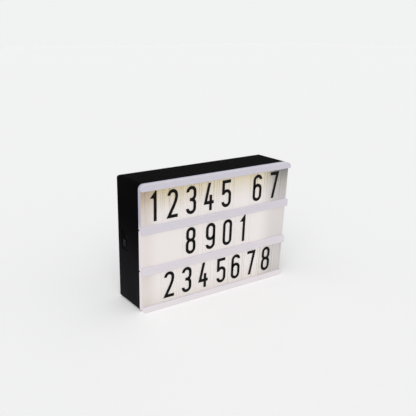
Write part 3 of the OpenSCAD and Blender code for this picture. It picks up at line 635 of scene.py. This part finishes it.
# ---- Screws and contacts ----------------------------------------------------
# Zinc-plated steel screws with turned heads, and contact plates and springs of
# nickel-plated strip and wire. The springs' coils are drawn fully round here.
plated, inlet, outlet = shader_group(
    "plated_metal",
    [("Color", "NodeSocketColor", (0.6, 0.6, 0.6, 1)),
     ("Dull Color", "NodeSocketColor", (0.4, 0.4, 0.4, 1)),
     ("Roughness", "NodeSocketFloat", 0.3),
     ("Line Scale", "NodeSocketFloat", 900.0),
     ("Stretch", "NodeSocketVector", (1.0, 1.0, 1.0))],
    [("Color", "NodeSocketColor"), ("Roughness", "NodeSocketFloat"),
     ("Height", "NodeSocketFloat")])
place = plated.nodes.new("ShaderNodeTexCoord").outputs["Object"]
drawn = plated.nodes.new("ShaderNodeVectorMath")
drawn.operation = "MULTIPLY"
plated.links.new(place, drawn.inputs[0])
plated.links.new(inlet.outputs["Stretch"], drawn.inputs[1])
lines = noise_node(plated, drawn.outputs[0], inlet.outputs["Line Scale"], 3.0, 0.6)
dull = ramp_node(plated, noise_node(plated, place, 320.0, 4.0), 0.45, 0.75)
plated.links.new(mix_colour(plated, dull, inlet.outputs["Color"], inlet.outputs["Dull Color"]),
                 outlet.inputs["Color"])
worn = math_node(plated, "MULTIPLY", math_node(plated, "ADD", lines, dull), 0.12)
plated.links.new(math_node(plated, "ADD", inlet.outputs["Roughness"], worn, True),
                 outlet.inputs["Roughness"])
plated.links.new(lines, outlet.inputs["Height"])


def plated_material(name, colour, dull_colour, roughness, line_scale, stretch):
    """A plated metal; its fine lines run along the axis that stretch makes smallest."""
    material, tree, shader = new_material(name)
    coat = place_group(tree, plated, Color=(*colour, 1), Dull_Color=(*dull_colour, 1),
                       Roughness=roughness, Line_Scale=line_scale, Stretch=stretch)
    tree.links.new(coat.outputs["Color"], shader.inputs["Base Color"])
    tree.links.new(coat.outputs["Roughness"], shader.inputs["Roughness"])
    add_bump(tree, shader, coat.outputs["Height"], 0.15, 0.00003)
    shader.inputs["Metallic"].default_value = 1.0
    return material


zinc = plated_material("zinc_plate", (0.62, 0.63, 0.66), (0.40, 0.41, 0.44),
                       roughness=0.26, line_scale=1600.0, stretch=(1.0, 0.1, 1.0))
nickel = plated_material("nickel_plate", (0.70, 0.67, 0.61), (0.50, 0.47, 0.42),
                         roughness=0.2, line_scale=1200.0, stretch=(1.0, 1.0, 0.05))
for name in ("case_screws", "led_board_screws", "switch_board_screws"):
    finish_node(name, zinc)
for name in ("contact_positive", "contact_negative", "contact_bridge_left",
             "contact_bridge_right"):
    finish_node(name, nickel)



def middle(name):
    """The middle of a CAD node's box, in mm."""
    lo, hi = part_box(name)
    return (lo + hi) / 2 / mm


cell_y = middle("cell_upper").y
cell_pitch = 11.2
lowest_cell_z = 16.3
# height of each cell's axis, and the side that its plus end is on
cell_rows = {"upper": (lowest_cell_z + 2 * cell_pitch, -1),
             "middle": (lowest_cell_z + cell_pitch, 1), "lower": (lowest_cell_z, -1)}


def tube_piece(name, points, radius, sides, material):
    """A round wire along points given in mm, with closed ends."""
    mesh = bmesh.new()
    rings = []
    spots = [Vector(p) for p in points]
    for k, here in enumerate(spots):
        along = (spots[min(k + 1, len(spots) - 1)] - spots[max(k - 1, 0)]).normalized()
        sideways = along.cross(Vector((1, 0, 0))).normalized()
        upright = sideways.cross(along)
        rings.append([mesh.verts.new((here + radius * (
            sideways * math.cos(math.tau * s / sides) + upright * math.sin(math.tau * s / sides)))
            * mm) for s in range(sides)])
    for a, b in zip(rings, rings[1:]):
        for s in range(sides):
            mesh.faces.new((a[s], a[(s + 1) % sides], b[(s + 1) % sides], b[s]))
    mesh.faces.new(rings[0])
    mesh.faces.new(rings[-1])
    bmesh.ops.recalc_face_normals(mesh, faces=mesh.faces)
    for face in mesh.faces:
        face.smooth = len(face.verts) == 4
    made = object_from(mesh, name)
    made.data.materials.append(material)
    return made


wire_r, wire_sides = 0.34, 10
spring_turns = 4
wide_r, narrow_r = 3.8, 2.4
foot_x, reach = 26.08, 5.6
turn_steps = 36
# the first and last tenth lie nearly flat, and rise only by the even part
flat_part, even_rise = 0.1, 0.2
for place_name, (cell_z, plus_side) in cell_rows.items():
    steps = spring_turns * turn_steps
    coil = []
    for k in range(steps + 1):
        part = k / steps
        angle = math.tau * spring_turns * part
        radius = wide_r + (narrow_r - wide_r) * part
        steep = min(max((part - flat_part) / (1 - 2 * flat_part), 0.0), 1.0)
        run = steep * (1 - even_rise) + part * even_rise
        coil.append((-plus_side * (foot_x - reach * run), cell_y + radius * math.cos(angle),
                     cell_z + radius * math.sin(angle)))
    spring = tube_piece(f"spring_wire_{place_name}", coil, wire_r, wire_sides, nickel)
    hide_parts(f"spring_{place_name}")
    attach(spring, "box")


# ---- Cells ------------------------------------------------------------------
# Three AAA cells: a nickel can with a raised button, in a shrunk plastic sleeve
# whose ends curl over the can. The sleeve bears only a plus and a minus.
sleeve, tree, shader = new_material("cell_sleeve")
spot, x, y, z = object_axes(tree)
rub = noise_node(tree, spot, 120.0, 4.0)
skin = mix_colour(tree, ramp_node(tree, rub, 0.4, 0.75), (0.022, 0.045, 0.050),
                  (0.040, 0.070, 0.075))
# every other cell lies the other way round
row = math_node(tree, "FLOOR", math_node(tree, "DIVIDE", math_node(
    tree, "SUBTRACT", z, (lowest_cell_z - cell_pitch / 2) * mm), cell_pitch * mm))
odd_row = math_node(tree, "MODULO", row, 2.0)
side = math_node(tree, "SUBTRACT", math_node(tree, "MULTIPLY", odd_row, 2.0), 1.0)
along = math_node(tree, "MULTIPLY", x, side)
up = math_node(tree, "SUBTRACT", z, math_node(
    tree, "ADD", math_node(tree, "MULTIPLY", row, cell_pitch * mm), lowest_cell_z * mm))


def bar_mask(tree, along, up, centre, half_long, half_high):
    """One where a point lies in an upright box round centre, along the cell, in mm."""
    off = math_node(tree, "ABSOLUTE", math_node(tree, "SUBTRACT", along, centre * mm))
    inside = math_node(tree, "LESS_THAN", off, half_long * mm)
    high = math_node(tree, "LESS_THAN", math_node(tree, "ABSOLUTE", up), half_high * mm)
    return math_node(tree, "MULTIPLY", inside, high)


mark_long, mark_thin = 1.7, 0.4
plus_at, minus_at, band_end = 18.5, -15.0, -17.4
plus = math_node(tree, "MAXIMUM", bar_mask(tree, along, up, plus_at, mark_long, mark_thin),
                 bar_mask(tree, along, up, plus_at, mark_thin, mark_long))
minus = bar_mask(tree, along, up, minus_at, mark_thin, mark_long)
printed = math_node(tree, "MULTIPLY", math_node(tree, "MAXIMUM", plus, minus),
                    math_node(tree, "GREATER_THAN", y, cell_y * mm))
band = math_node(tree, "LESS_THAN", along, band_end * mm)
skin = mix_colour(tree, band, skin, (0.30, 0.31, 0.31))
tree.links.new(mix_colour(tree, printed, skin, (0.72, 0.72, 0.70)), shader.inputs["Base Color"])
rough_by(tree, shader, rub, 0.24, 0.36)
add_bump(tree, shader, noise_node(tree, spot, 500.0, 2.0), 0.08, 0.00005)
# half outlines as turned: the place along the cell and the radius there, in mm
can_profile = [(-20.0, 0.0), (-20.0, 3.9), (-19.85, 4.1), (-19.85, 4.3)]
sleeve_profile = [(-19.85, 4.3), (-20.0, 4.45), (-20.0, 4.75), (-19.8, 5.0), (-19.5, 5.1),
                  (-10.0, 5.1), (0.0, 5.1), (12.0, 5.1), (22.8, 5.1), (23.2, 5.0),
                  (23.45, 4.8), (23.5, 4.5), (23.4, 4.2), (23.2, 4.1)]
button_profile = [(23.2, 4.1), (23.2, 2.9), (23.05, 2.6), (23.05, 2.1), (23.3, 1.95),
                  (24.3, 1.85), (24.45, 1.75), (24.5, 1.5), (24.5, 0.0)]
cell_sides = 64
for place_name, (cell_z, plus_side) in cell_rows.items():
    mesh = bmesh.new()
    profile = can_profile + sleeve_profile[1:] + button_profile[1:]
    first_sleeve = len(can_profile) - 1
    last_sleeve = first_sleeve + len(sleeve_profile) - 1
    rings = []
    for along_mm, radius in profile:
        count = cell_sides if radius else 1
        rings.append([mesh.verts.new(Vector((
            plus_side * along_mm, cell_y + radius * math.cos(math.tau * s / count),
            cell_z + radius * math.sin(math.tau * s / count))) * mm) for s in range(count)])
    for k, (a, b) in enumerate(zip(rings, rings[1:])):
        for s in range(cell_sides):
            t = (s + 1) % cell_sides
            if len(a) == 1:
                face = mesh.faces.new((a[0], b[s], b[t]))
            elif len(b) == 1:
                face = mesh.faces.new((a[s], a[t], b[0]))
            else:
                face = mesh.faces.new((a[s], a[t], b[t], b[s]))
            face.material_index = 0 if first_sleeve <= k < last_sleeve else 1
            face.smooth = True
    bmesh.ops.recalc_face_normals(mesh, faces=mesh.faces)
    cell = object_from(mesh, f"cell_{place_name}_in_sleeve")
    cell.data.materials.append(sleeve)
    cell.data.materials.append(nickel)
    cell.data.set_sharp_from_angle(angle=math.radians(40))
    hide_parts(f"cell_{place_name}")
    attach(cell, "box")


# ---- Reflector and LED boards -----------------------------------------------
# A white card on the back wall throws the light forward. Each LED board is white
# glass-epoxy with faint copper lines, tinned pads, five LEDs and a chip resistor.
card_white, tree, shader = new_material("white_card")
spot = object_axes(tree)[0]
fibre = noise_node(tree, spot, 1500.0, 5.0, 0.7)
tree.links.new(mix_colour(tree, fibre, (0.80, 0.80, 0.79), (0.88, 0.88, 0.87)),
               shader.inputs["Base Color"])
rough_by(tree, shader, fibre, 0.6, 0.8)
add_bump(tree, shader, fibre, 0.25, 0.00006)
finish_node("reflector_sheet", card_white)

board_x = middle("led_board_right").x
led_step = 16.0
leds_on_board = 5
first_led_z = middle("leds_right").z - (leds_on_board - 1) / 2 * led_step
resistor_z = middle("resistors").z
# copper, in mm: two side traces, the links between LEDs, and the pads under them
trace_off, trace_half_w = 2.6, 0.55
link_half_w, link_from = 0.5, 2.5
pad_half_w, pad_half_h = 1.1, 2.7
board, tree, shader = new_material("white_board")
spot, x, y, z = object_axes(tree)
ny = normal_axes(tree)["Y"]
off_centre = math_node(tree, "SUBTRACT", math_node(tree, "ABSOLUTE", x), board_x * mm)
aside = math_node(tree, "ABSOLUTE", off_centre)
half_step = led_step / 2 * mm
# height over or under the nearest LED
from_led = math_node(tree, "SUBTRACT", math_node(tree, "MODULO", math_node(
    tree, "SUBTRACT", z, first_led_z * mm - half_step), led_step * mm), half_step)
off_led = math_node(tree, "ABSOLUTE", from_led)
trace = math_node(tree, "COMPARE", aside, trace_off * mm)
trace.node.inputs[2].default_value = trace_half_w * mm
link = math_node(tree, "MULTIPLY", math_node(tree, "LESS_THAN", aside, link_half_w * mm),
                 math_node(tree, "GREATER_THAN", off_led, link_from * mm))
pad = math_node(tree, "MULTIPLY", math_node(tree, "LESS_THAN", aside, pad_half_w * mm),
                math_node(tree, "LESS_THAN", off_led, pad_half_h * mm))
paint_coat = mix_colour(tree, math_node(tree, "MAXIMUM", trace, link), (0.80, 0.81, 0.78),
                        (0.66, 0.68, 0.62))
front = math_node(tree, "LESS_THAN", ny, -0.5)
edge = math_node(tree, "LESS_THAN", math_node(tree, "ABSOLUTE", ny), 0.5)
pad_here = math_node(tree, "MULTIPLY", pad, front)
board_colour = mix_colour(tree, pad_here, paint_coat, (0.68, 0.68, 0.68))
tree.links.new(mix_colour(tree, edge, board_colour, (0.55, 0.50, 0.28)),
               shader.inputs["Base Color"])
tree.links.new(pad_here, shader.inputs["Metallic"])
weave = noise_node(tree, spot, 900.0, 2.0)
rough_by(tree, shader, weave, 0.3, 0.42)
add_bump(tree, shader, math_node(tree, "ADD", math_node(tree, "MULTIPLY", weave, 0.4),
                                 math_node(tree, "MAXIMUM", trace, link)), 0.25, 0.00004)
finish_node("led_board_left", board)
finish_node("led_board_right", board)

led_white = moulded_material(
    "led_package", (0.80, 0.79, 0.75), (0.86, 0.85, 0.82), roughness=0.35,
    grain_scale=3000.0, drift=0.4, bump=0.1)[0]
finish_node("leds_left", led_white)
finish_node("leds_right", led_white)

cap_from = 1.15
chip, tree, shader = new_material("chip_resistor")
spot, x, y, z = object_axes(tree)
ny = normal_axes(tree)["Y"]
from_middle = math_node(tree, "ABSOLUTE", math_node(tree, "SUBTRACT", z, resistor_z * mm))
cap = math_node(tree, "GREATER_THAN", from_middle, cap_from * mm)
glass = math_node(tree, "LESS_THAN", ny, -0.5)
body = mix_colour(tree, glass, (0.78, 0.77, 0.74), (0.012, 0.012, 0.013))
tree.links.new(mix_colour(tree, cap, body, (0.70, 0.70, 0.69)), shader.inputs["Base Color"])
tree.links.new(cap, shader.inputs["Metallic"])
rough_by(tree, shader, noise_node(tree, spot, 2500.0), 0.25, 0.45)
add_bump(tree, shader, noise_node(tree, spot, 4000.0), 0.1, 0.00002)
finish_node("resistors", chip)

# Drops of solder and of phosphor gel: one flattened drop, set at many points.
drops = bpy.data.node_groups.new("drops_at_points", "GeometryNodeTree")
drops.interface.new_socket(name="Geometry", in_out="OUTPUT", socket_type="NodeSocketGeometry")
drops.interface.new_socket(name="Points", in_out="INPUT", socket_type="NodeSocketGeometry")
drop_sockets = {}
for label, kind in (("Drop Width", "NodeSocketFloat"), ("Drop Height", "NodeSocketFloat"),
                    ("Variation", "NodeSocketFloat"), ("Seed", "NodeSocketInt"),
                    ("Finish", "NodeSocketMaterial")):
    drop_sockets[label] = drops.interface.new_socket(
        name=label, in_out="INPUT", socket_type=kind).identifier
inlet = drops.nodes.new("NodeGroupInput")
outlet = drops.nodes.new("NodeGroupOutput")
ball = drops.nodes.new("GeometryNodeMeshUVSphere")
ball.inputs["Segments"].default_value = 20
ball.inputs["Rings"].default_value = 10
ball.inputs["Radius"].default_value = 1.0
shape = drops.nodes.new("ShaderNodeCombineXYZ")
half_width = drops.nodes.new("ShaderNodeMath")
half_width.operation = "MULTIPLY"
half_width.inputs[1].default_value = 0.5
drops.links.new(inlet.outputs["Drop Width"], half_width.inputs[0])
drops.links.new(half_width.outputs[0], shape.inputs["X"])
drops.links.new(half_width.outputs[0], shape.inputs["Z"])
drops.links.new(inlet.outputs["Drop Height"], shape.inputs["Y"])
pressed = drops.nodes.new("GeometryNodeTransform")
drops.links.new(ball.outputs["Mesh"], pressed.inputs["Geometry"])
drops.links.new(shape.outputs[0], pressed.inputs["Scale"])
spread = drops.nodes.new("FunctionNodeRandomValue")
spread.data_type = "FLOAT"
smallest = drops.nodes.new("ShaderNodeMath")
smallest.operation = "SUBTRACT"
smallest.inputs[0].default_value = 1.0
drops.links.new(inlet.outputs["Variation"], smallest.inputs[1])
random_low = [s for s in spread.inputs if s.name == "Min" and s.type == "VALUE"][0]
random_high = [s for s in spread.inputs if s.name == "Max" and s.type == "VALUE"][0]
random_out = [s for s in spread.outputs if s.type == "VALUE"][0]
random_high.default_value = 1.0
drops.links.new(smallest.outputs[0], random_low)
drops.links.new(inlet.outputs["Seed"], spread.inputs["Seed"])
placed = drops.nodes.new("GeometryNodeInstanceOnPoints")
drops.links.new(inlet.outputs["Points"], placed.inputs["Points"])
drops.links.new(pressed.outputs["Geometry"], placed.inputs["Instance"])
drops.links.new(random_out, placed.inputs["Scale"])
solid = drops.nodes.new("GeometryNodeRealizeInstances")
drops.links.new(placed.outputs["Instances"], solid.inputs["Geometry"])
smooth = drops.nodes.new("GeometryNodeSetShadeSmooth")
drops.links.new(solid.outputs["Geometry"], smooth.inputs["Geometry"])
finish = drops.nodes.new("GeometryNodeSetMaterial")
drops.links.new(smooth.outputs["Geometry"], finish.inputs["Geometry"])
drops.links.new(inlet.outputs["Finish"], finish.inputs["Material"])
drops.links.new(finish.outputs["Geometry"], outlet.inputs["Geometry"])


def drops_piece(name, points, width, height, variation, seed, material):
    """Drops of one material at points given in mm."""
    cloud = bpy.data.meshes.new(name)
    cloud.from_pydata([Vector(p) * mm for p in points], [], [])
    made = bpy.data.objects.new(name, cloud)
    bpy.context.scene.collection.objects.link(made)
    setting = made.modifiers.new("drops", "NODES")
    setting.node_group = drops
    for label, value in (("Drop Width", width * mm), ("Drop Height", height * mm),
                         ("Variation", variation), ("Seed", seed), ("Finish", material)):
        setting[drop_sockets[label]] = value
    apply_modifiers(made)
    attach(made, "box")


solder, tree, shader = new_material("solder")
spot = object_axes(tree)[0]
frost = noise_node(tree, spot, 2200.0, 3.0)
tree.links.new(mix_colour(tree, frost, (0.60, 0.60, 0.62), (0.76, 0.76, 0.77)),
               shader.inputs["Base Color"])
rough_by(tree, shader, frost, 0.16, 0.34)
add_bump(tree, shader, frost, 0.1, 0.00002)
shader.inputs["Metallic"].default_value = 1.0

gel, tree, shader = new_material("phosphor_gel")
spot = object_axes(tree)[0]
speck = noise_node(tree, spot, 5000.0, 2.0)
tree.links.new(mix_colour(tree, speck, (0.80, 0.62, 0.16), (0.88, 0.74, 0.28)),
               shader.inputs["Base Color"])
tree.links.new(mix_colour(tree, speck, (1.0, 0.86, 0.55), (1.0, 0.92, 0.68)),
               shader.inputs["Emission Color"])
rough_by(tree, shader, speck, 0.12, 0.25)
add_bump(tree, shader, speck, 0.05, 0.00002)
shader.inputs["Emission Strength"].default_value = 1.6

board_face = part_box("led_board_right")[0].y / mm
led_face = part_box("leds_right")[0].y / mm
window_depth = 0.3
led_heights = [first_led_z + led_step * k for k in range(leds_on_board)]
# half the length of each, out to where its solder sits
led_end = 2.05
resistor_end = 1.85
joints = [(side * board_x, board_face, height + end * led_end)
          for side in (-1, 1) for height in led_heights for end in (-1, 1)]
joints += [(side * board_x, board_face, resistor_z + end * resistor_end)
           for side in (-1, 1) for end in (-1, 1)]
drops_piece("solder_beads", joints, width=1.5, height=0.55, variation=0.15, seed=7,
            material=solder)
windows = [(side * board_x, led_face + window_depth, height)
           for side in (-1, 1) for height in led_heights]
drops_piece("phosphor_drops", windows, width=2.2, height=0.24, variation=0.03, seed=3,
            material=gel)


# ---- Switch -----------------------------------------------------------------
# A slide switch with a tinned steel shell on a small green board; a ribbed black
# knob over its lever shows in the recess of the left wall.
switch_y, switch_z = middle("switch_body").yz
switch_board_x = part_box("switch_board")[1].x / mm
pin_step = 2.5
# copper, in mm: one track beside the pins, and a ring round each pin of the row
track_off, track_half_w = -2.6, 0.45
ring_r, pin_row_half = 0.95, 3.6
green_board, tree, shader = new_material("green_board")
spot, x, y, z = object_axes(tree)
nx = normal_axes(tree)["X"]
off_pin_y = math_node(tree, "SUBTRACT", y, switch_y * mm)
off_row = math_node(tree, "ABSOLUTE", math_node(tree, "SUBTRACT", z, switch_z * mm))
track = math_node(tree, "COMPARE", off_pin_y, track_off * mm)
track.node.inputs[2].default_value = track_half_w * mm
covered = mix_colour(tree, track, (0.008, 0.060, 0.022), (0.020, 0.120, 0.045))
pin_off = math_node(tree, "SUBTRACT", math_node(tree, "MODULO", math_node(
    tree, "SUBTRACT", z, (switch_z - 2.5 * pin_step) * mm), pin_step * mm), pin_step / 2 * mm)
reach_off = math_node(tree, "SQRT", math_node(
    tree, "ADD", math_node(tree, "MULTIPLY", pin_off, pin_off),
    math_node(tree, "MULTIPLY", off_pin_y, off_pin_y)))
ring = math_node(tree, "MULTIPLY", math_node(tree, "LESS_THAN", reach_off, ring_r * mm),
                 math_node(tree, "LESS_THAN", off_row, pin_row_half * mm))
flat = math_node(tree, "GREATER_THAN", math_node(tree, "ABSOLUTE", nx), 0.5)
ring = math_node(tree, "MULTIPLY", ring, flat)
coloured = mix_colour(tree, ring, covered, (0.70, 0.69, 0.66))
tree.links.new(mix_colour(tree, flat, (0.42, 0.40, 0.20), coloured), shader.inputs["Base Color"])
tree.links.new(ring, shader.inputs["Metallic"])
weave = noise_node(tree, spot, 1100.0, 2.0)
rough_by(tree, shader, weave, 0.25, 0.4)
add_bump(tree, shader, math_node(tree, "ADD", weave, track), 0.2, 0.00004)
finish_node("switch_board", green_board)
tin = plated_material("tinned_shell", (0.66, 0.67, 0.68), (0.46, 0.46, 0.47),
                      roughness=0.3, line_scale=1400.0, stretch=(1.0, 1.0, 0.06))
finish_node("switch_body", tin)
lever_black = moulded_material(
    "lever_black", (0.010, 0.010, 0.011), (0.02, 0.02, 0.021), roughness=0.42,
    grain_scale=2600.0, drift=0.5, bump=0.15, specular=0.4)[0]
finish_node("switch_lever", lever_black)
knob_black = moulded_material(
    "knob_black", (0.007, 0.007, 0.009), (0.016, 0.016, 0.019), roughness=0.42,
    grain_scale=3200.0, drift=0.8, bump=0.2, specular=0.10)[0]
finish_node("switch_knob", knob_black)
pin_rise = 0.35
pin_drops = [(switch_board_x + pin_rise, switch_y, switch_z + pin_step * k) for k in (-1, 0, 1)]
drops_piece("pin_solder", pin_drops, width=1.5, height=0.75, variation=0.1, seed=5,
            material=solder)


# ---- Wires ------------------------------------------------------------------
# Thin stranded wires in soft PVC, red for plus and black for minus, soldered to
# the tabs, the switch pins and the LED boards. The jacket is smooth and a bit greasy.
def jacket_material(name, colour, pale):
    """The soft skin of a wire."""
    return moulded_material(name, colour, pale, roughness=0.34, grain_scale=1800.0,
                            drift=0.6, bump=0.1)[0]


red_jacket = jacket_material("red_jacket", (0.42, 0.018, 0.014), (0.52, 0.04, 0.03))
black_jacket = jacket_material("black_jacket", (0.009, 0.009, 0.010), (0.02, 0.02, 0.02))
for name in ("wire_battery_to_switch", "wire_switch_to_leds", "wire_link_red"):
    finish_node(name, red_jacket)
for name in ("wire_battery_return", "wire_link_black"):
    finish_node(name, black_jacket)


bpy.context.view_layer.update()
